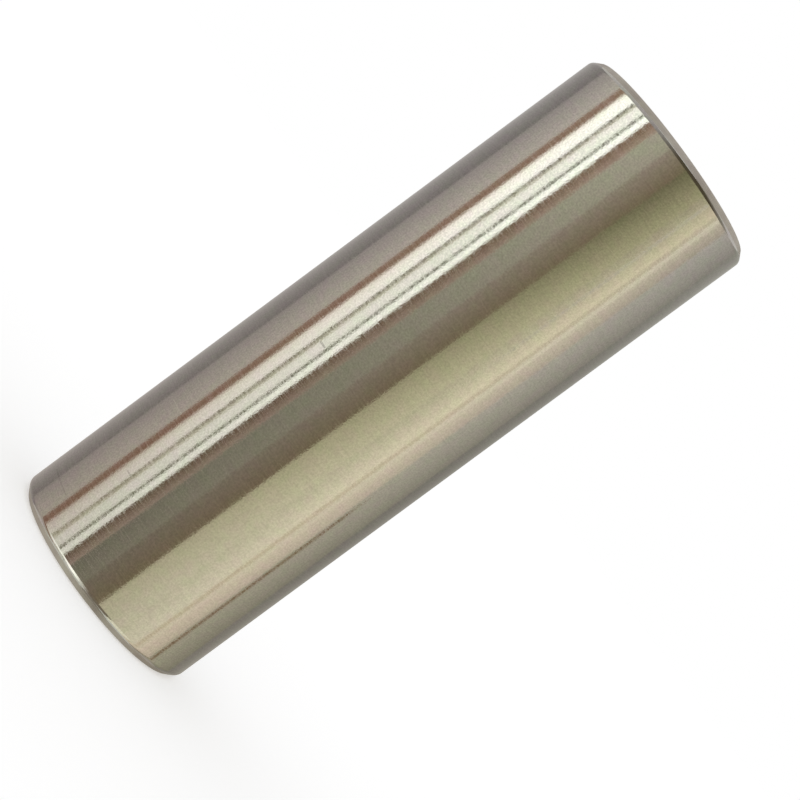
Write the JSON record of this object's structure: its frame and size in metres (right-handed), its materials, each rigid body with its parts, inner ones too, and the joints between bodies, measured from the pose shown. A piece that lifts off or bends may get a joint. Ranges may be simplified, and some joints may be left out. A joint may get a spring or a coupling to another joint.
{
  "type": "gudgeon pin",
  "caption": "Hollow round gudgeon pin in ground hardened steel, with a plain through bore and chamfered ends, that joins a piston to its connecting rod.",
  "frame": {"origin": "centre of the lower end face, which the pin stands on", "axes": "+Z along the pin's axis, from the lower end face to the upper one; the pin is round, so +X and +Y are any two square directions across it"},
  "size_m": [0.015, 0.015, 0.043],
  "materials": {
    "ground_steel": "ground and polished around the axis, bright"
  },
  "bodies": {
    "root": {"gudgeon_pin": "ground_steel"}
  },
  "joints": []
}
